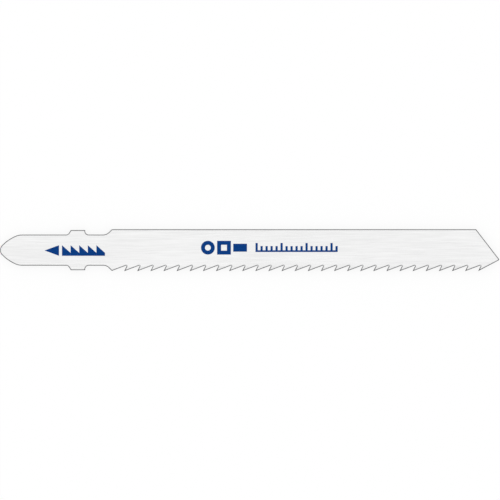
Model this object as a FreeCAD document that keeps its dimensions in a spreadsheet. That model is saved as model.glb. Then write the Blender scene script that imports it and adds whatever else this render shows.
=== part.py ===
import FreeCAD, Part
import Sketcher
import math
import os

# A jigsaw blade with a T-shaped tang, punched, milled and set from one strip of steel.
# Millimetres. X runs along the blade from the tang to the tip, Y from the teeth to the back and
# Z through the thickness. The origin is on the tang's centre line, level with the front faces
# of the two lugs, on the side that the blade lies on.

SIZES = {
    # Whole blade
    "overall_length": 100.0,  # nose of the tang to the foremost corner
    "thickness": 1.25,  # the strip
    "edge_break": 0.1,  # small bevel that tumbling leaves on the punched edges
    # Rounded end of the tang
    "nose_to_stop": 17.05,  # nose of the tang to the front faces of the lugs
    "tang_width": 6.21,
    "nose_radius": 1.38,  # three arcs, each tangent to the next
    "flank_radius": 8.19,
    "corner_radius": 3.15,
    "corner_sweep": 22.5,  # degrees that the corner arc turns through
    # Lugs and neck
    "lug_span": 8.02,  # across the two lugs
    "lug_length": 2.88,  # the flat top of a lug
    "lug_ramp_angle": 58.0,  # degrees, rear side of a lug
    "lug_root_radius": 0.71,
    "neck_length": 4.26,  # front faces of the lugs to the feet of the shoulders
    "shoulder_root_radius": 1.63,
    "back_shoulder_angle": 45.0,  # degrees
    "tooth_shoulder_angle": 44.5,  # degrees
    # Body, measured across from the tang's centre line
    "axis_to_back": 4.17,
    "axis_to_tips": 4.21,
    "axis_to_corner": 1.94,  # how far the foremost corner lies towards the teeth
    "end_angle": 52.4,  # degrees from the back edge to the slanted end
    "corner_round": 0.2,
    # Teeth
    "tooth_pitch": 2.624,
    "first_tip_trim": 0.21,  # how much the shoulder takes off the tip of the first tooth
    "tooth_depth": 1.2,  # tip to the corner that the gullet's two sides would meet in
    "tip_land": 0.04,  # flat at each tip
    "rake_angle": 26.0,  # degrees that the cutting face leans towards the tang
    "gullet_radius": 0.06,
    "tip_to_corner": 4.0,  # the last tip lies at least this far behind the foremost corner
    # Set: each tooth between the first and the last leans to one side, in turn
    "tooth_set": 0.25,  # how far a tip stands out of the blade's side
    "foot_clearance": 0.21,  # along the bend, from a tooth's foot to the line of the next tip
}

SHEET = "Sizes"
ROOT_SHARE = 0.99  # the most of a slope's free length that the radius at its foot may take
NEAR = 1e-4  # two places closer than this are the same

# Sizes that follow from the others, as expressions on the sheet
CORNER_X = "(Sizes.overall_length - Sizes.nose_to_stop)"
BACK_RISE = "(Sizes.axis_to_back - Sizes.tang_width / 2)"
TOOTH_RISE = "(Sizes.axis_to_tips - Sizes.tang_width / 2)"
SHOULDER_END_X = f"(Sizes.neck_length + {TOOTH_RISE} / tan(Sizes.tooth_shoulder_angle))"
FIRST_TIP_X = f"({SHOULDER_END_X} - Sizes.first_tip_trim)"  # before the shoulder trims it
GULLET_COUNT = f"floor(({CORNER_X} - Sizes.tip_to_corner - {FIRST_TIP_X}) / Sizes.tooth_pitch)"
LAST_TIP_X = f"({FIRST_TIP_X} + {GULLET_COUNT} * Sizes.tooth_pitch)"
TOOTH_BACK_RUN = "(Sizes.tooth_pitch - Sizes.tip_land + Sizes.tooth_depth * tan(Sizes.rake_angle))"
BEND_HEIGHT = (
    "((Sizes.tooth_pitch - Sizes.tip_land - Sizes.foot_clearance)"
    f" * Sizes.tooth_depth / {TOOTH_BACK_RUN})"
)
BEND_DROP = f"(Sizes.axis_to_tips - {BEND_HEIGHT})"
# a third of the clearance lies before a leaning tooth, a third behind it, a third between two
CLEARANCE_STEP = "(Sizes.foot_clearance / 3)"
BAND_START_X = f"({FIRST_TIP_X} + Sizes.tooth_pitch - 2 * {CLEARANCE_STEP})"
CUT_PAST_TIPS = "(Sizes.tooth_depth / 2)"
CUT_THROUGH = "(2 * (Sizes.thickness + 2 * Sizes.tooth_set))"

# The sketcher's numbers for an edge's own points, which count up, and for the axes, which count down
START, END, CENTRE = range(1, 4)
HORIZONTAL_AXIS = -1
VERTICAL_AXIS = HORIZONTAL_AXIS - 1
ORIGIN = (HORIZONTAL_AXIS, START)


def make_sheet(doc):
    sheet = doc.addObject("Spreadsheet::Sheet", SHEET)
    for row, (name, value) in enumerate(SIZES.items(), start=1):
        sheet.set(f"A{row}", name)
        sheet.set(f"B{row}", str(value))
        sheet.setAlias(f"B{row}", name)
    doc.recompute()
    return sheet


def root_limit(rise, angle):
    """The largest radius at the foot of a slope of this rise and angle, clear of the broken edge."""
    free_length = f"({rise} / sin({angle}) - Sizes.edge_break)"
    return f"({ROOT_SHARE} * {free_length} / tan({angle} / 2))"


def worked_out(sheet, formula):
    return float(sheet.evalExpression(formula))


def origin_part(body, role):
    return next(part for part in body.Origin.OriginFeatures if part.Role == role)


def new_sketch(body, name, role):
    sketch = body.newObject("Sketcher::SketchObject", name)
    sketch.AttachmentSupport = [(origin_part(body, role), "")]
    sketch.MapMode = "FlatFace"
    return sketch


def point(x, y):
    return FreeCAD.Vector(x, y, 0)


def add_line(sketch, start, end):
    return sketch.addGeometry(Part.LineSegment(start, end))


def add_arc(sketch, centre, radius, start_degrees, end_degrees):
    circle = Part.Circle(centre, FreeCAD.Vector(0, 0, 1), radius)
    start, end = math.radians(start_degrees), math.radians(end_degrees)
    return sketch.addGeometry(Part.ArcOfCircle(circle, start, end))


def relate(sketch, kind, *ends):
    sketch.addConstraint(Sketcher.Constraint(kind, *ends))


def run_of(rise, degrees):
    """How far a slope at this angle runs while it rises by this much."""
    return rise / math.tan(math.radians(degrees))


def join_chain(sketch, lines):
    for first, second in zip(lines, lines[1:]):
        relate(sketch, "Coincident", first, END, second, START)


def dimension(sketch, name, kind, ends, formula):
    """A named dimension of the sketch that follows a formula on the sheet."""
    degrees = kind == "Angle"
    value = float(sketch.evalExpression(formula))
    start = math.radians(value) if degrees else value
    sketch.renameConstraint(sketch.addConstraint(Sketcher.Constraint(kind, *ends, start)), name)
    sketch.setExpression(f"Constraints.{name}", f"({formula}) * 1 deg" if degrees else formula)


def lug_ramp_foot(s):
    """Where the sloping rear side of a lug rises from the tang."""
    return -s["lug_length"] - run_of((s["lug_span"] - s["tang_width"]) / 2, s["lug_ramp_angle"])


def draw_half_tang(body, s):
    """The tang above its centre line, from the rounded nose past the lug to the end of the neck."""
    sketch = new_sketch(body, "half_tang_outline", "XY_Plane")
    half_width = s["tang_width"] / 2
    # start the three arcs from their worked-out centres
    sweep = math.radians(s["corner_sweep"])
    flank_reach = s["flank_radius"] - s["corner_radius"]
    flank_y = half_width - s["corner_radius"] - flank_reach * math.cos(sweep)
    nose_reach = s["flank_radius"] - s["nose_radius"]
    nose_turn = math.acos(-flank_y / nose_reach)
    nose_x = s["nose_radius"] - s["nose_to_stop"]
    flank_x = nose_x + nose_reach * math.sin(nose_turn)
    corner_x = flank_x - flank_reach * math.sin(sweep)
    meets_corner = 90 + s["corner_sweep"]
    meets_nose = 90 + math.degrees(nose_turn)
    lug_rear_x = -s["lug_length"]
    corners = [
        point(corner_x, half_width),
        point(lug_ramp_foot(s), half_width),
        point(lug_rear_x, s["lug_span"] / 2),
        point(0, s["lug_span"] / 2),
        point(0, half_width),
        point(s["neck_length"], half_width),
        point(s["neck_length"], 0),
        point(-s["nose_to_stop"], 0),
    ]

    nose = add_arc(sketch, point(nose_x, 0), s["nose_radius"], meets_nose, 180)
    flank = add_arc(sketch, point(flank_x, flank_y), s["flank_radius"], meets_corner, meets_nose)
    corner_y = half_width - s["corner_radius"]
    corner = add_arc(sketch, point(corner_x, corner_y), s["corner_radius"], 90, meets_corner)
    lines = [add_line(sketch, a, b) for a, b in zip(corners, corners[1:])]
    side, ramp, lug_top, stop_face, neck_side, neck_end, centre_line = lines

    relate(sketch, "Tangent", nose, START, flank, END)
    relate(sketch, "Tangent", flank, START, corner, END)
    relate(sketch, "Tangent", corner, START, side, START)
    join_chain(sketch, lines)
    relate(sketch, "Coincident", centre_line, END, nose, END)
    for level in (side, lug_top, neck_side, centre_line):
        relate(sketch, "Horizontal", level)
    for upright in (stop_face, neck_end):
        relate(sketch, "Vertical", upright)
    relate(sketch, "Horizontal", side, END, neck_side, START)
    relate(sketch, "PointOnObject", nose, END, HORIZONTAL_AXIS)
    relate(sketch, "PointOnObject", nose, CENTRE, HORIZONTAL_AXIS)
    relate(sketch, "PointOnObject", stop_face, START, VERTICAL_AXIS)

    dimension(sketch, "nose_radius", "Radius", (nose,), "Sizes.nose_radius")
    dimension(sketch, "flank_radius", "Radius", (flank,), "Sizes.flank_radius")
    dimension(sketch, "corner_radius", "Radius", (corner,), "Sizes.corner_radius")
    dimension(sketch, "corner_sweep", "Angle", (corner,), "Sizes.corner_sweep")
    dimension(sketch, "nose_to_stop", "DistanceX", (nose, END, *ORIGIN), "Sizes.nose_to_stop")
    dimension(sketch, "half_width", "DistanceY", (*ORIGIN, side, START), "Sizes.tang_width / 2")
    dimension(sketch, "half_lug_span", "DistanceY", (*ORIGIN, lug_top, START), "Sizes.lug_span / 2")
    dimension(sketch, "lug_length", "DistanceX", (lug_top, START, lug_top, END), "Sizes.lug_length")
    dimension(sketch, "lug_ramp_angle", "Angle", (ramp,), "Sizes.lug_ramp_angle")
    dimension(sketch, "neck_length", "DistanceX", (*ORIGIN, neck_end, START), "Sizes.neck_length")
    return sketch


def draw_body(body, s, sheet):
    """The body from its shoulders to the slanted end, open where the leaning teeth go."""
    sketch = new_sketch(body, "body_outline", "XY_Plane")
    half_width = s["tang_width"] / 2
    corner_x = worked_out(sheet, CORNER_X)
    last_tip_x = worked_out(sheet, LAST_TIP_X)
    band_end_x = last_tip_x - worked_out(sheet, CLEARANCE_STEP)
    band_start_x = worked_out(sheet, BAND_START_X)
    bend_y = -worked_out(sheet, BEND_DROP)
    tip_y = -s["axis_to_tips"]
    back_run = run_of(s["axis_to_back"] - half_width, s["back_shoulder_angle"])
    end_run = run_of(s["axis_to_back"] + s["axis_to_corner"], s["end_angle"])
    corners = [
        point(s["neck_length"], -half_width),
        point(s["neck_length"], half_width),
        point(s["neck_length"] + back_run, s["axis_to_back"]),
        point(corner_x - end_run, s["axis_to_back"]),
        point(corner_x, -s["axis_to_corner"]),
        point(last_tip_x, tip_y),
        point(band_end_x, tip_y),
        point(band_end_x, bend_y),
        point(band_start_x, bend_y),
        point(band_start_x, tip_y),
        point(worked_out(sheet, SHOULDER_END_X), tip_y),
    ]

    lines = [add_line(sketch, a, b) for a, b in zip(corners, corners[1:] + corners[:1])]
    neck_end, back_shoulder, back, slant = lines[:4]
    last_foot, band_end, bend, band_start, first_foot, tooth_shoulder = lines[5:]
    join_chain(sketch, lines + lines[:1])
    for level in (back, last_foot, bend, first_foot):
        relate(sketch, "Horizontal", level)
    for upright in (band_end, band_start):
        relate(sketch, "Vertical", upright)
    relate(sketch, "Horizontal", last_foot, END, first_foot, START)
    relate(sketch, "Symmetric", neck_end, START, neck_end, END, HORIZONTAL_AXIS)

    dimension(sketch, "neck_end", "DistanceX", (*ORIGIN, neck_end, START), "Sizes.neck_length")
    dimension(sketch, "width", "DistanceY", (neck_end, START, neck_end, END), "Sizes.tang_width")
    dimension(sketch, "back_angle", "Angle", (back_shoulder,), "Sizes.back_shoulder_angle")
    dimension(sketch, "back_height", "DistanceY", (*ORIGIN, back, START), "Sizes.axis_to_back")
    dimension(sketch, "end_angle", "Angle", (slant,), "-Sizes.end_angle")
    dimension(sketch, "corner_x", "DistanceX", (*ORIGIN, slant, END), CORNER_X)
    dimension(sketch, "corner_drop", "DistanceY", (slant, END, *ORIGIN), "Sizes.axis_to_corner")
    dimension(sketch, "tip_drop", "DistanceY", (last_foot, START, *ORIGIN), "Sizes.axis_to_tips")
    dimension(sketch, "last_tip_x", "DistanceX", (*ORIGIN, last_foot, START), LAST_TIP_X)
    dimension(sketch, "last_foot", "DistanceX", (last_foot, END, last_foot, START), CLEARANCE_STEP)
    dimension(sketch, "bend_drop", "DistanceY", (bend, START, *ORIGIN), BEND_DROP)
    dimension(sketch, "band_start_x", "DistanceX", (*ORIGIN, band_start, START), BAND_START_X)
    dimension(sketch, "tooth_angle", "Angle", (tooth_shoulder,), "180 - Sizes.tooth_shoulder_angle")
    return sketch


def draw_leaning_section(body, name, s, sheet, lean, first_tip):
    """Section across a tooth below the bend, leaning to the side that lean gives, +1 or -1.

    first_tip counts the pitches from the blade's first tip to the first tooth of this row."""
    sketch = new_sketch(body, name, "YZ_Plane")
    start_x = f"{FIRST_TIP_X} + {first_tip} * Sizes.tooth_pitch - {CLEARANCE_STEP}"
    sketch.setExpression("AttachmentOffset.Base.z", start_x)
    bend_y = -worked_out(sheet, BEND_DROP)
    tip_y = -s["axis_to_tips"]
    shift = lean * s["tooth_set"]
    corners = [
        point(bend_y, 0),
        point(tip_y, shift),
        point(tip_y, s["thickness"] + shift),
        point(bend_y, s["thickness"]),
    ]

    lines = [add_line(sketch, a, b) for a, b in zip(corners, corners[1:] + corners[:1])]
    near_side, tip, far_side, bend = lines
    join_chain(sketch, lines + lines[:1])
    relate(sketch, "Vertical", tip)
    relate(sketch, "Vertical", bend)
    relate(sketch, "Parallel", near_side, far_side)
    relate(sketch, "PointOnObject", near_side, START, HORIZONTAL_AXIS)
    dimension(sketch, "bend_drop", "DistanceX", (near_side, START, *ORIGIN), BEND_DROP)
    dimension(sketch, "tip_drop", "DistanceX", (near_side, END, *ORIGIN), "Sizes.axis_to_tips")
    dimension(sketch, "thickness", "DistanceY", (bend, END, bend, START), "Sizes.thickness")
    leans_out = (*ORIGIN, near_side, END) if lean > 0 else (near_side, END, *ORIGIN)
    dimension(sketch, "tooth_set", "DistanceY", leans_out, "Sizes.tooth_set")
    return sketch


def draw_gullet(body, s, sheet):
    """The first gullet: the back of one tooth, the rounded root and the cutting face of the next."""
    sketch = new_sketch(body, "gullet_outline", "XY_Plane")
    rake = math.radians(s["rake_angle"])
    back = math.atan2(s["tooth_depth"], worked_out(sheet, TOOTH_BACK_RUN))
    face_direction = point(math.sin(rake), math.cos(rake))
    back_direction = point(math.cos(back), math.sin(back))
    tip_y = -s["axis_to_tips"]
    past_tips = worked_out(sheet, CUT_PAST_TIPS)
    first_tip_x = worked_out(sheet, FIRST_TIP_X)
    next_tip = point(first_tip_x + s["tooth_pitch"], tip_y)
    land_end = point(first_tip_x + s["tip_land"], tip_y)
    root = next_tip + face_direction * (s["tooth_depth"] / math.cos(rake))
    # the root arc touches both sides at the same distance from the corner they would meet in
    opening = math.pi / 2 - rake - back
    reach = s["gullet_radius"] / math.tan(opening / 2)
    face_touch = root - face_direction * reach
    back_touch = root - back_direction * reach
    centre = face_touch + point(-math.cos(rake), math.sin(rake)) * s["gullet_radius"]
    face_low = next_tip - face_direction * (past_tips / math.cos(rake))
    back_low = land_end - back_direction * (past_tips / math.sin(back))

    face = add_line(sketch, face_low, face_touch)
    arc_end = 90 + math.degrees(back)
    arc = add_arc(sketch, centre, s["gullet_radius"], -s["rake_angle"], arc_end)
    tooth_back = add_line(sketch, back_touch, back_low)
    below = add_line(sketch, back_low, face_low)
    marks = [sketch.addGeometry(Part.Point(p), True) for p in (next_tip, land_end, root)]
    next_tip_mark, land_mark, root_mark = marks

    relate(sketch, "Tangent", face, END, arc, START)
    relate(sketch, "Tangent", arc, END, tooth_back, START)
    join_chain(sketch, [tooth_back, below, face])
    relate(sketch, "Horizontal", below)
    for mark in (next_tip_mark, root_mark):
        relate(sketch, "PointOnObject", mark, START, face)
    for mark in (land_mark, root_mark):
        relate(sketch, "PointOnObject", mark, START, tooth_back)
    relate(sketch, "Horizontal", next_tip_mark, START, land_mark, START)

    tip_ends = (*ORIGIN, next_tip_mark, START)
    land_ends = (*ORIGIN, land_mark, START)
    depth_ends = (next_tip_mark, START, root_mark, START)
    below_tips = f"Sizes.axis_to_tips + {CUT_PAST_TIPS}"
    dimension(sketch, "next_tip", "DistanceX", tip_ends, f"{FIRST_TIP_X} + Sizes.tooth_pitch")
    dimension(sketch, "land_end", "DistanceX", land_ends, f"{FIRST_TIP_X} + Sizes.tip_land")
    dimension(sketch, "tip_drop", "DistanceY", (next_tip_mark, START, *ORIGIN), "Sizes.axis_to_tips")
    dimension(sketch, "tooth_depth", "DistanceY", depth_ends, "Sizes.tooth_depth")
    dimension(sketch, "rake_angle", "Angle", (face,), "90 - Sizes.rake_angle")
    dimension(sketch, "gullet_radius", "Radius", (arc,), "Sizes.gullet_radius")
    dimension(sketch, "below_tips", "DistanceY", (below, START, *ORIGIN), below_tips)
    return sketch


def pad(body, name, sketch, length):
    feature = body.newObject("PartDesign::Pad", name)
    feature.Profile = sketch
    feature.setExpression("Length", length)
    return feature


def repeat_along(body, name, feature, spacing, count):
    """A row of the feature along the blade. It counts once it is the body's tip."""
    row = body.newObject("PartDesign::LinearPattern", name)
    row.Originals = [feature]
    row.Direction = (origin_part(body, "X_Axis"), [""])
    row.Mode = "Spacing"
    row.setExpression("Offset", spacing)
    row.setExpression("Occurrences", count)
    body.Tip = row
    return row


def upright_edges(feature, places):
    """Names of the edges through the thickness that stand at these places of the outline."""
    names = []
    for place in places:
        for number, edge in enumerate(feature.Shape.Edges, start=1):
            ends = [v.Point for v in edge.Vertexes]
            if len(ends) == 2 and all(math.dist((e.x, e.y), place) < NEAR for e in ends):
                names.append(f"Edge{number}")
    return names


def round_corners(doc, body, name, places, radius):
    base = body.Tip
    feature = body.newObject("PartDesign::Fillet", name)
    feature.Base = (base, upright_edges(base, places))
    feature.setExpression("Radius", radius)
    doc.recompute()
    return feature


def break_side_edges(doc, body, s, sheet):
    """A small bevel round both sides of the blank, apart from the band that the teeth are cut in."""
    base = body.Tip
    band_start_x = worked_out(sheet, FIRST_TIP_X)
    band_end_x = worked_out(sheet, LAST_TIP_X)
    band_y = -worked_out(sheet, BEND_DROP)
    names = []
    for number, edge in enumerate(base.Shape.Edges, start=1):
        centre = edge.CenterOfMass
        lies_flat = all(abs(v.Z - edge.Vertexes[0].Z) < NEAR for v in edge.Vertexes)
        in_band = centre.y < band_y + NEAR and band_start_x < centre.x < band_end_x
        if lies_flat and not in_band:
            names.append(f"Edge{number}")
    feature = body.newObject("PartDesign::Chamfer", "edge_break")
    feature.Base = (base, names)
    feature.setExpression("Size", "Sizes.edge_break")
    doc.recompute()
    return feature


def make_blade(doc, sheet):
    s = {name: sheet.get(name) for name in SIZES}
    body = doc.addObject("PartDesign::Body", "blade")
    body.Label = "blade"
    body.Placement = FreeCAD.Placement()
    half_width = s["tang_width"] / 2

    # blank: half the tang and its mirror image, then the body
    half_tang = pad(body, "half_tang", draw_half_tang(body, s), "Sizes.thickness")
    doc.recompute()
    whole_tang = body.newObject("PartDesign::Mirrored", "whole_tang")
    whole_tang.Originals = [half_tang]
    whole_tang.MirrorPlane = (origin_part(body, "XZ_Plane"), [""])
    body.Tip = whole_tang
    doc.recompute()
    pad(body, "blank_body", draw_body(body, s, sheet), "Sizes.thickness")
    doc.recompute()

    # rounded corners of the punched outline
    lug_roots = [(x, y) for x in (lug_ramp_foot(s), 0) for y in (half_width, -half_width)]
    lug_limit = root_limit("((Sizes.lug_span - Sizes.tang_width) / 2)", "90")
    round_corners(doc, body, "lug_roots", lug_roots, f"min(Sizes.lug_root_radius; {lug_limit})")
    shoulder_roots = [(s["neck_length"], y) for y in (half_width, -half_width)]
    back_limit = root_limit(BACK_RISE, "Sizes.back_shoulder_angle")
    tooth_limit = root_limit(TOOTH_RISE, "Sizes.tooth_shoulder_angle")
    shoulder_radius = f"min(Sizes.shoulder_root_radius; {back_limit}; {tooth_limit})"
    round_corners(doc, body, "shoulder_roots", shoulder_roots, shoulder_radius)
    foremost = [(worked_out(sheet, CORNER_X), -s["axis_to_corner"])]
    round_corners(doc, body, "foremost_corner", foremost, "Sizes.corner_round")
    break_side_edges(doc, body, s, sheet)

    # teeth that lean to one side and to the other, in turn
    width = f"Sizes.tooth_pitch - {CLEARANCE_STEP}"
    for name, lean, first_tip, count in (
        ("tooth_left", 1, 1, f"floor({GULLET_COUNT} / 2)"),
        ("tooth_right", -1, 2, f"floor(({GULLET_COUNT} - 1) / 2)"),
    ):
        section = draw_leaning_section(body, f"{name}_section", s, sheet, lean, first_tip)
        tooth = pad(body, name, section, width)
        doc.recompute()
        repeat_along(body, f"{name}_row", tooth, "2 * Sizes.tooth_pitch", count)
        doc.recompute()

    # gullets, cut through the blank and the leaning teeth alike
    uncut = body.Shape.Volume
    gullet = body.newObject("PartDesign::Pocket", "gullet")
    gullet.Profile = draw_gullet(body, s, sheet)
    gullet.SideType = "Symmetric"
    gullet.setExpression("Length", CUT_THROUGH)
    doc.recompute()
    repeat_along(body, "gullet_row", gullet, "Sizes.tooth_pitch", GULLET_COUNT)
    doc.recompute()
    if body.Shape.Volume >= uncut:
        raise RuntimeError("the gullets cut nothing away")
    return body


def check(doc, body):
    for item in doc.Objects:
        if "Invalid" in item.State or "Error" in item.State:
            raise RuntimeError(f"{item.Name} failed: {item.State}")
    shape = body.Shape
    if shape.isNull() or not shape.isValid() or len(shape.Solids) != 1:
        raise RuntimeError("the blade is not one valid solid")


doc = FreeCAD.newDocument("jigsaw_blade")
sizes = make_sheet(doc)
blade = make_blade(doc, sizes)
check(doc, blade)
os.makedirs("parts", exist_ok=True)
blade.Shape.exportStep(f"parts/{blade.Label}.step")
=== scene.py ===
import math

import bmesh
import bpy
from mathutils import Matrix, Vector


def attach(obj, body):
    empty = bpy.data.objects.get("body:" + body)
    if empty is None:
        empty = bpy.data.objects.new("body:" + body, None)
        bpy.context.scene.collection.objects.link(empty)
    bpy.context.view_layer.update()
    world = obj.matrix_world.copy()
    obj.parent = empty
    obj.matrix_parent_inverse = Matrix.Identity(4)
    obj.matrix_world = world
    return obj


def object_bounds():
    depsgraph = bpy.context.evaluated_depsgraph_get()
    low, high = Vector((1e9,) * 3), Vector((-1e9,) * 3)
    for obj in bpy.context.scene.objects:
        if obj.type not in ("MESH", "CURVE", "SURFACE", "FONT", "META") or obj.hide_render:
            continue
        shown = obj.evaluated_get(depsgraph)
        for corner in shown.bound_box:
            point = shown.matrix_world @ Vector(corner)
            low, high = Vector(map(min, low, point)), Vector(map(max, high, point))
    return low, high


# A jigsaw blade of pale ground steel with dark blue print, seen straight from above.
# Metres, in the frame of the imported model: X from the tang to the tip, Y from the teeth to the
# back, Z through the thickness. Patterns in the materials are worked out in millimetres.

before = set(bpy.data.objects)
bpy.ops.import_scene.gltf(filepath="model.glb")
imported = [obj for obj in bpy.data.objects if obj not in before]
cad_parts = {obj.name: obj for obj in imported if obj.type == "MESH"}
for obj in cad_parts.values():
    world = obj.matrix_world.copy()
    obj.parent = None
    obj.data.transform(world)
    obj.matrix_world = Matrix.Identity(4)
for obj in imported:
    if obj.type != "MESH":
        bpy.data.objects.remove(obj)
cad_low, cad_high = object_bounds()

MM = 0.001

# How the photograph shows the blade
IMAGE_WIDTH_PX = 500
BLADE_LENGTH = 100 * MM
BLADE_LENGTH_PX = 499.66
PIXEL = BLADE_LENGTH / BLADE_LENGTH_PX
NOSE_PX = -0.02  # from the left edge to the nose of the tang
CENTRE_LINE_PX = 250.12  # from the top edge to the tang's centre line

# The blade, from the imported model
NOSE_X = cad_low.x
FLOOR_Z = cad_low.z  # the tips of the teeth that lean down rest on the floor
TOOTH_SET = -cad_low.z  # the lower side face lies at 0
UPPER_Z = cad_high.z - TOOTH_SET  # the side face that carries the print
THICKNESS_MM = UPPER_Z / MM

# The toothed edge: from this column on and below this row of the photograph
FIRST_TOOTH_PX = 112.0
GULLETS_PX = 264.8

# Print: the columns and rows of the photograph that each sign fills
DIRECTION_SIGN_PX = (44.5, 245.2, 105.0, 255.8)
SECTIONS_SIGN_PX = (201.0, 240.8, 247.0, 254.6)
SCALE_SIGN_PX = (255.5, 243.0, 338.5, 252.0)
INK_THICKNESS = 0.012 * MM
CORNER_MERGE = INK_THICKNESS / 10  # corners of a sign that lie closer than this become one
ROUND_SIDES = 48  # enough for a ring to look round
SQUARE_SIDES = 4

# Colours
GROUND_STEEL = (0.804, 0.804, 0.804, 1.0)
# Painted shade: a dark outline along the edges of the steel
EDGE_SHADE_STEEL = (0.12, 0.122, 0.126, 1.0)
MILLED_STEEL = (0.35, 0.354, 0.36, 1.0)
SHEARED_STEEL = (0.42, 0.425, 0.43, 1.0)
BROKEN_STEEL = (0.24, 0.243, 0.25, 1.0)
BLUE_INK = (0.0, 0.037, 0.19, 1.0)
THIN_BLUE_INK = (0.003, 0.058, 0.26, 1.0)
WHITE = (1.0, 1.0, 1.0, 1.0)
PALE_PAPER = (0.98, 0.98, 0.98, 1.0)

# The finish of the cut edges, from 0 for a mirror to 1 for chalk
BROKEN_ROUGHNESS = 0.62
SHEARED_ROUGHNESS = 0.38
MILLED_ROUGHNESS = 0.42

# How level a face lies: 1 for the side faces, 0.7 for their broken edges, 0 for the cut edges
SIDE_FACE_LEVEL = (0.80, 0.90)
BROKEN_EDGE_LEVEL = (0.45, 0.60)

# Patterns of the steel and the ink
USUAL_NOISE = (0.3, 0.7)  # most of a noise's values lie between these
SHEARED_ABOVE = 0.55  # of the thickness, from the lower side face
SHEARED_WANDER_MM = 0.2
SHEARED_BLUR_MM = 0.03
MILLED_BLUR_MM = 0.05
# Painted shade: how far in from the edges the dark outline reaches
SHADED_RIM_WIDTH = 0.22 * MM
TOOTH_SHADED_RIM_WIDTH = 0.237 * MM  # the milled teeth have no broken edge, so their painted shade reaches a little further in
SHADED_RIM_OPENNESS = (0.80, 0.97)  # from the rim's full painted shade to none of it
STEEL_RELIEF = 0.35
LINE_DEPTH = 0.006 * MM
INK_RELIEF = 0.3
INK_UNEVENNESS = 0.004 * MM

# Stage
AMBIENT_LIGHT = 0.97
FLOOR_WHITE_SHARE = 0.84  # how much of the floor's look is plain white, and not its shading
CAMERA_HEIGHT = 300 * MM
FLOOR_SIZE = 4000 * MM


def x_at(column):
    """Where a column of the photograph lies along the blade."""
    return NOSE_X + (column - NOSE_PX) * PIXEL


def y_at(row):
    """Where a row of the photograph lies across the blade."""
    return (CENTRE_LINE_PX - row) * PIXEL


def sign_box(edges_px):
    """Left, right, lower and upper limit of a sign on the blade."""
    left, top, right, bottom = edges_px
    return x_at(left), x_at(right), y_at(bottom), y_at(top)


# Nodes

def set_input(tree, socket, value):
    if isinstance(value, bpy.types.NodeSocket):
        tree.links.new(value, socket)
    else:
        socket.default_value = value


def add_node(tree, kind, inputs, **settings):
    """A node with its settings, and with its inputs set to values or linked to other outputs."""
    node = tree.nodes.new(kind)
    for name, value in settings.items():
        setattr(node, name, value)
    for key, value in inputs.items():
        set_input(tree, node.inputs[key], value)
    return node


def calculate(tree, operation, first, second=0.0):
    return add_node(tree, "ShaderNodeMath", {0: first, 1: second}, operation=operation).outputs[0]


def remap(tree, value, low, high, to_low=0.0, to_high=1.0):
    """A straight change from one range of values to another, held at its ends."""
    inputs = {"Value": value, "From Min": low, "From Max": high, "To Min": to_low, "To Max": to_high}
    return add_node(tree, "ShaderNodeMapRange", inputs, clamp=True).outputs["Result"]


def blend(tree, factor, first, second, mode="MIX"):
    """Mixes two colours, or multiplies the first by the second."""
    node = add_node(tree, "ShaderNodeMix", {}, data_type="RGBA", blend_type=mode)
    sockets = {socket.identifier: socket for socket in node.inputs}
    set_input(tree, sockets["Factor_Float"], factor)
    set_input(tree, sockets["A_Color"], first)
    set_input(tree, sockets["B_Color"], second)
    return next(socket for socket in node.outputs if socket.identifier == "Result_Color")


def shade(tree, colour, share):
    """A colour made darker or lighter by a share that changes from place to place."""
    return blend(tree, 1.0, colour, share, "MULTIPLY")


def choose(tree, factor, first, second):
    """The first number where the factor is 0, the second where it is 1."""
    return remap(tree, factor, 0.0, 1.0, first, second)


def vary(tree, noise, least, most):
    """A noise turned into values from the least to the most."""
    return remap(tree, noise, *USUAL_NOISE, least, most)


def soft_step(tree, value, border, blur, below=0.0, above=1.0):
    """One number below a border and another above it, with a short slope across it."""
    return remap(tree, value, border - blur, border + blur, below, above)


def millimetres(tree):
    """The place on the object, in millimetres."""
    place = add_node(tree, "ShaderNodeTexCoord", {}).outputs["Object"]
    return add_node(tree, "ShaderNodeVectorMath", {0: place, "Scale": 1 / MM}, operation="SCALE").outputs[0]


def drawn_noise(tree, place, size, stretch=(1, 1, 1), detail=2.0, turn=0.0):
    """Noise of this size in millimetres, drawn out along X, Y and Z and turned on the side face."""
    turned = place
    if turn:
        inputs = {"Vector": place, "Rotation": (0.0, 0.0, turn)}
        turned = add_node(tree, "ShaderNodeMapping", inputs, vector_type="POINT").outputs[0]
    scale = tuple(1 / (size * factor) for factor in stretch)
    inputs = {"Vector": turned, "Scale": scale}
    drawn = add_node(tree, "ShaderNodeMapping", inputs, vector_type="POINT").outputs[0]
    inputs = {"Vector": drawn, "Scale": 1.0, "Detail": detail, "Roughness": 0.6}
    return add_node(tree, "ShaderNodeTexNoise", inputs).outputs["Fac"]


def side_grain(tree, place):
    """The fine lines that grinding left along the side faces."""
    return drawn_noise(tree, place, 0.16, stretch=(40, 1, 1), detail=3.0)


def relief(tree, height, strength, depth):
    inputs = {"Height": height, "Strength": strength, "Distance": depth}
    return add_node(tree, "ShaderNodeBump", inputs).outputs["Normal"]


def new_material(name):
    material = bpy.data.materials.new(name)
    material.use_nodes = True
    material.node_tree.nodes.clear()
    return material, material.node_tree


def finish_material(tree, shader):
    output = add_node(tree, "ShaderNodeOutputMaterial", {})
    tree.links.new(shader.outputs[0], output.inputs["Surface"])


# Materials

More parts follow.
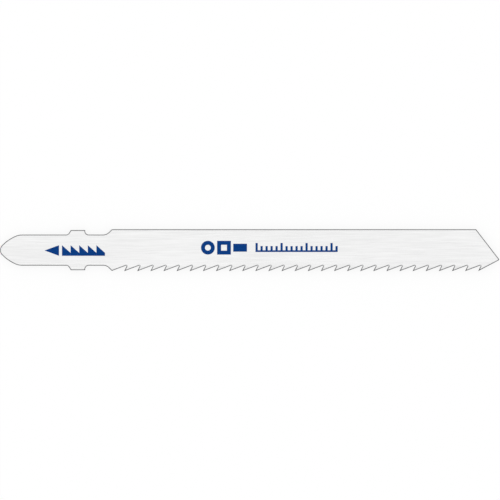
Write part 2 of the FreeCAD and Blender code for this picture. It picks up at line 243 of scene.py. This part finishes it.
def ground_colour(tree, place, grain):
    """Pale ground steel: a fine grain along the blade, soft bands, patches and a few scratches."""
    bands = drawn_noise(tree, place, 1.1, stretch=(30, 1, 1))
    patches = drawn_noise(tree, place, 7.0, stretch=(2, 1, 1))
    colour = shade(tree, GROUND_STEEL, vary(tree, grain, 0.92, 1.06))
    colour = shade(tree, colour, vary(tree, bands, 0.98, 1.015))
    colour = shade(tree, colour, vary(tree, patches, 0.985, 1.01))
    # Only the highest parts of these noises show, as scratches at two angles
    for degrees, size in ((4, 0.12), (-7, 0.14)):
        turn = math.radians(degrees)
        lines = drawn_noise(tree, place, size, stretch=(60, 1, 1), detail=1.0, turn=turn)
        colour = shade(tree, colour, remap(tree, lines, 0.70, 0.78, 1.0, 0.90))
    return colour


def sheared_share(tree, place):
    """1 on the upper part of a cut edge, which the punch sheared bright, and 0 where it broke."""
    height = add_node(tree, "ShaderNodeSeparateXYZ", {0: place}).outputs["Z"]
    noise = drawn_noise(tree, place, 0.9)
    wander = remap(tree, noise, 0.25, 0.75, -SHEARED_WANDER_MM, SHEARED_WANDER_MM)
    wandering_height = calculate(tree, "ADD", height, wander)
    return soft_step(tree, wandering_height, THICKNESS_MM * SHEARED_ABOVE, SHEARED_BLUR_MM)


def milled_share(tree, place):
    """1 on the toothed edge, which is milled from side to side, and 0 on the punched edges."""
    parts = add_node(tree, "ShaderNodeSeparateXYZ", {0: place}).outputs
    along = soft_step(tree, parts["X"], x_at(FIRST_TOOTH_PX) / MM, MILLED_BLUR_MM)
    below = soft_step(tree, parts["Y"], y_at(GULLETS_PX) / MM, MILLED_BLUR_MM, 1.0, 0.0)
    return calculate(tree, "MULTIPLY", along, below)


def shaded_rim_share(tree, upward, milled):
    """Painted shade along the edges: 1 at the edges of the steel and 0 a fifth of a millimetre inside them.
    """
    # Looking straight through the blade gives the teeth that lean up and down the same painted rim shade
    upper = calculate(tree, "GREATER_THAN", upward, 0.0)
    through = add_node(tree, "ShaderNodeCombineXYZ", {"Z": choose(tree, upper, -1.0, 1.0)}).outputs[0]
    inputs = {"Distance": choose(tree, milled, SHADED_RIM_WIDTH, TOOTH_SHADED_RIM_WIDTH), "Normal": through}
    shaded_rim = add_node(tree, "ShaderNodeAmbientOcclusion", inputs, inside=True, only_local=True, samples=16)
    return remap(tree, shaded_rim.outputs["AO"], *SHADED_RIM_OPENNESS, 1.0, 0.0)


def blade_steel():
    """Ground side faces with painted shade along their edges and on their broken edges, and dull punched
    and milled edges.
    """
    material, tree = new_material("ground_blade_steel")
    place = millimetres(tree)
    normal = add_node(tree, "ShaderNodeNewGeometry", {}).outputs["True Normal"]
    upward = add_node(tree, "ShaderNodeSeparateXYZ", {0: normal}).outputs["Z"]
    level = calculate(tree, "ABSOLUTE", upward)
    on_side = remap(tree, level, *SIDE_FACE_LEVEL)
    on_shaded_broken_edge = remap(tree, level, *BROKEN_EDGE_LEVEL)

    grain = side_grain(tree, place)
    cut_lines = drawn_noise(tree, place, 0.09, stretch=(1, 1, 60), detail=3.0)
    sheared = sheared_share(tree, place)
    milled = milled_share(tree, place)
    shaded_rim = shaded_rim_share(tree, upward, milled)
    # Painted shade: the side faces darken towards every edge of the steel
    side_colour = blend(tree, shaded_rim, ground_colour(tree, place, grain), EDGE_SHADE_STEEL)
    edge_colour = blend(tree, sheared, BROKEN_STEEL, SHEARED_STEEL)
    edge_colour = blend(tree, milled, edge_colour, MILLED_STEEL)
    edge_colour = shade(tree, edge_colour, vary(tree, cut_lines, 0.7, 1.3))
    # Painted shade: the broken edges are painted as dark as the outline
    edge_colour = blend(tree, on_shaded_broken_edge, edge_colour, EDGE_SHADE_STEEL)

    side_roughness = vary(tree, grain, 0.27, 0.40)
    punched_roughness = choose(tree, sheared, BROKEN_ROUGHNESS, SHEARED_ROUGHNESS)
    edge_roughness = choose(tree, milled, punched_roughness, MILLED_ROUGHNESS)
    inputs = {
        "Base Color": blend(tree, on_side, edge_colour, side_colour),
        "Metallic": 1.0,
        "Roughness": choose(tree, on_side, edge_roughness, side_roughness),
        "Normal": relief(tree, choose(tree, on_side, cut_lines, grain), STEEL_RELIEF, LINE_DEPTH),
    }
    finish_material(tree, add_node(tree, "ShaderNodeBsdfPrincipled", inputs))
    return material


def printing_ink():
    """Dark blue pad-printed ink, thinner where the grain of the steel stands up."""
    material, tree = new_material("dark_blue_printing_ink")
    place = millimetres(tree)
    cover = drawn_noise(tree, place, 0.22, detail=3.0)
    thin = remap(tree, calculate(tree, "MULTIPLY", cover, side_grain(tree, place)), 0.22, 0.40)
    inputs = {
        "Base Color": blend(tree, thin, BLUE_INK, THIN_BLUE_INK),
        "Roughness": vary(tree, cover, 0.45, 0.6),
        "Specular IOR Level": 0.05,
        "Normal": relief(tree, cover, INK_RELIEF, INK_UNEVENNESS),
    }
    finish_material(tree, add_node(tree, "ShaderNodeBsdfPrincipled", inputs))
    return material


def seen_directly(tree):
    """1 for rays from the camera, off a glossy surface or through glass, and 0 for others."""
    path = add_node(tree, "ShaderNodeLightPath", {}).outputs
    seen = calculate(tree, "MAXIMUM", path["Is Camera Ray"], path["Is Glossy Ray"])
    return calculate(tree, "MAXIMUM", seen, path["Is Transmission Ray"])


def pale_floor():
    material, tree = new_material("pale_floor")
    paper = add_node(tree, "ShaderNodeBsdfDiffuse", {"Color": PALE_PAPER})
    white = add_node(tree, "ShaderNodeEmission", {"Color": WHITE, "Strength": 1.0})
    share = calculate(tree, "MULTIPLY", seen_directly(tree), FLOOR_WHITE_SHARE)
    inputs = {0: share, 1: paper.outputs[0], 2: white.outputs[0]}
    finish_material(tree, add_node(tree, "ShaderNodeMixShader", inputs))
    return material


# Pieces

def add_object(name, data):
    made = bpy.data.objects.new(name, data)
    bpy.context.scene.collection.objects.link(made)
    return made


def mesh_object(name, shape, material):
    mesh = bpy.data.meshes.new(name)
    shape.to_mesh(mesh)
    shape.free()
    mesh.materials.append(material)
    return add_object(name, mesh)


def dress_blade():
    """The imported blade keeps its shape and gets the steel's finish."""
    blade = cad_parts["blade"]
    blade.data.materials.clear()
    blade.data.materials.append(blade_steel())


def flat_shape(shape, corners):
    """A flat face on the printed side with these corners."""
    shape.faces.new([shape.verts.new((x, y, UPPER_Z)) for x, y in corners])


def bar(shape, left, right, low, high):
    flat_shape(shape, [(left, low), (right, low), (right, high), (left, high)])


def hollow_section(shape, centre, size, wall, sides):
    """A flat ring of this many sides, as wide as size between its flats, with one flat below."""
    turn = Matrix.Rotation(math.pi / sides - math.pi / 2, 4, "Z")
    place = Matrix.Translation((*centre, UPPER_Z)) @ turn
    radius = size / 2 / math.cos(math.pi / sides)
    made = bmesh.ops.create_circle(shape, segments=sides, radius=radius, cap_ends=True, matrix=place)
    filled = made["verts"][0].link_faces[0]
    inset = {"thickness": wall, "use_boundary": True, "use_even_offset": True}
    bmesh.ops.inset_region(shape, faces=[filled], **inset)
    bmesh.ops.delete(shape, geom=[filled], context="FACES")


def print_piece(name, shape, ink):
    """Joins the flat shapes of a sign, gives them the ink's thickness and lays them on the blade."""
    bmesh.ops.remove_doubles(shape, verts=shape.verts, dist=CORNER_MERGE)
    raised = bmesh.ops.extrude_face_region(shape, geom=shape.faces[:])["geom"]
    top = [item for item in raised if isinstance(item, bmesh.types.BMVert)]
    bmesh.ops.translate(shape, verts=top, vec=(0, 0, INK_THICKNESS))
    bmesh.ops.recalc_face_normals(shape, faces=shape.faces)
    # Extruding makes the walls in a chance order, so the faces are sorted by where they lie
    ordered = sorted(shape.faces, key=lambda face: face.calc_center_median().to_tuple(7))
    rank = {face: number for number, face in enumerate(ordered)}
    shape.faces.sort(key=rank.get)
    piece = mesh_object(name, shape, ink)
    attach(piece, "root")


def print_cut_direction(ink):
    """On the tang: an arrow to the nose, the way the blade cuts, and a toothed bar."""
    left, right, low, high = sign_box(DIRECTION_SIGN_PX)
    head_length = 2.9 * MM
    gap = 0.6 * MM
    bar_height = 0.6 * MM
    tooth_count = 5
    shape = bmesh.new()
    head_end = left + head_length
    flat_shape(shape, [(left, (low + high) / 2), (head_end, low), (head_end, high)])
    start = head_end + gap
    pitch = (right - start) / tooth_count
    foot = low + bar_height
    for tooth in range(tooth_count):
        x = start + tooth * pitch
        bar(shape, x, x + pitch, low, foot)
        flat_shape(shape, [(x, foot), (x + pitch, foot), (x, high)])
    print_piece("print_cut_direction", shape, ink)


def print_sections(ink):
    """In the middle: sections that the blade cuts, a tube, a square tube and a flat bar."""
    left, right, low, high = sign_box(SECTIONS_SIGN_PX)
    size = high - low
    wall = 0.8 * MM
    flat_height = 1.6 * MM
    middle = (low + high) / 2
    shape = bmesh.new()
    hollow_section(shape, (left + size / 2, middle), size, wall, ROUND_SIDES)
    hollow_section(shape, ((left + right) / 2, middle), size, wall, SQUARE_SIDES)
    bar(shape, right - size, right, middle - flat_height / 2, middle + flat_height / 2)
    print_piece("print_sections", shape, ink)


def print_scale(ink):
    """Beyond them: a plain scale, a mark each millimetre and a longer one each fifth."""
    left, right, low, high = sign_box(SCALE_SIGN_PX)
    line = 0.45 * MM
    base_line = 0.35 * MM
    short_share = 0.66
    long_mark_every = 5
    pitch = 1.0 * MM
    steps = math.floor((right - left - line) / pitch)
    base_top = low + base_line
    short_top = low + short_share * (high - low)
    shape = bmesh.new()
    for mark in range(steps + 1):
        x = left + mark * pitch
        top = high if mark % long_mark_every == 0 else short_top
        bar(shape, x, x + line, low, base_top)
        bar(shape, x, x + line, base_top, top)
        if mark < steps:
            bar(shape, x + line, x + pitch, low, base_top)
    print_piece("print_scale", shape, ink)


# Stage

def make_camera():
    """Looks straight down, with no perspective, at what the photograph shows."""
    data = bpy.data.cameras.new("camera")
    data.type = "ORTHO"
    data.ortho_scale = IMAGE_WIDTH_PX * PIXEL
    camera = add_object("camera", data)
    middle = IMAGE_WIDTH_PX / 2
    camera.location = (x_at(middle), y_at(middle), CAMERA_HEIGHT)
    bpy.context.scene.camera = camera


def make_world():
    """White where it is seen, and a plain even light on everything else."""
    world = bpy.data.worlds.new("white_surroundings")
    world.use_nodes = True
    tree = world.node_tree
    tree.nodes.clear()
    strength = choose(tree, seen_directly(tree), AMBIENT_LIGHT, 1.0)
    background = add_node(tree, "ShaderNodeBackground", {"Color": WHITE, "Strength": strength})
    output = add_node(tree, "ShaderNodeOutputWorld", {})
    tree.links.new(background.outputs[0], output.inputs["Surface"])
    bpy.context.scene.world = world


def make_floor():
    shape = bmesh.new()
    bmesh.ops.create_grid(shape, x_segments=1, y_segments=1, size=FLOOR_SIZE / 2)
    bmesh.ops.translate(shape, verts=shape.verts, vec=(0, 0, FLOOR_Z))
    mesh_object("floor", shape, pale_floor())


def make_softbox(name, place, size, power):
    """A square lamp this far in metres from the blade's middle, turned towards it."""
    data = bpy.data.lights.new(name, "AREA")
    data.shape = "SQUARE"
    data.size = size
    data.energy = power
    lamp = add_object(name, data)
    lamp.location = (cad_low + cad_high) / 2 + Vector(place)
    lamp.rotation_mode = "QUATERNION"
    lamp.rotation_quaternion = (-Vector(place)).to_track_quat("-Z", "Y")


make_camera()
make_world()
make_floor()
make_softbox("overhead_softbox", place=(0.0, 0.05, 0.60), size=0.80, power=0.26)
make_softbox("side_softbox", place=(-0.50, 0.45, 0.45), size=0.50, power=0.08)

dress_blade()
blue_ink = printing_ink()
print_cut_direction(blue_ink)
print_sections(blue_ink)
print_scale(blue_ink)

bpy.context.scene.view_settings.view_transform = "Standard"
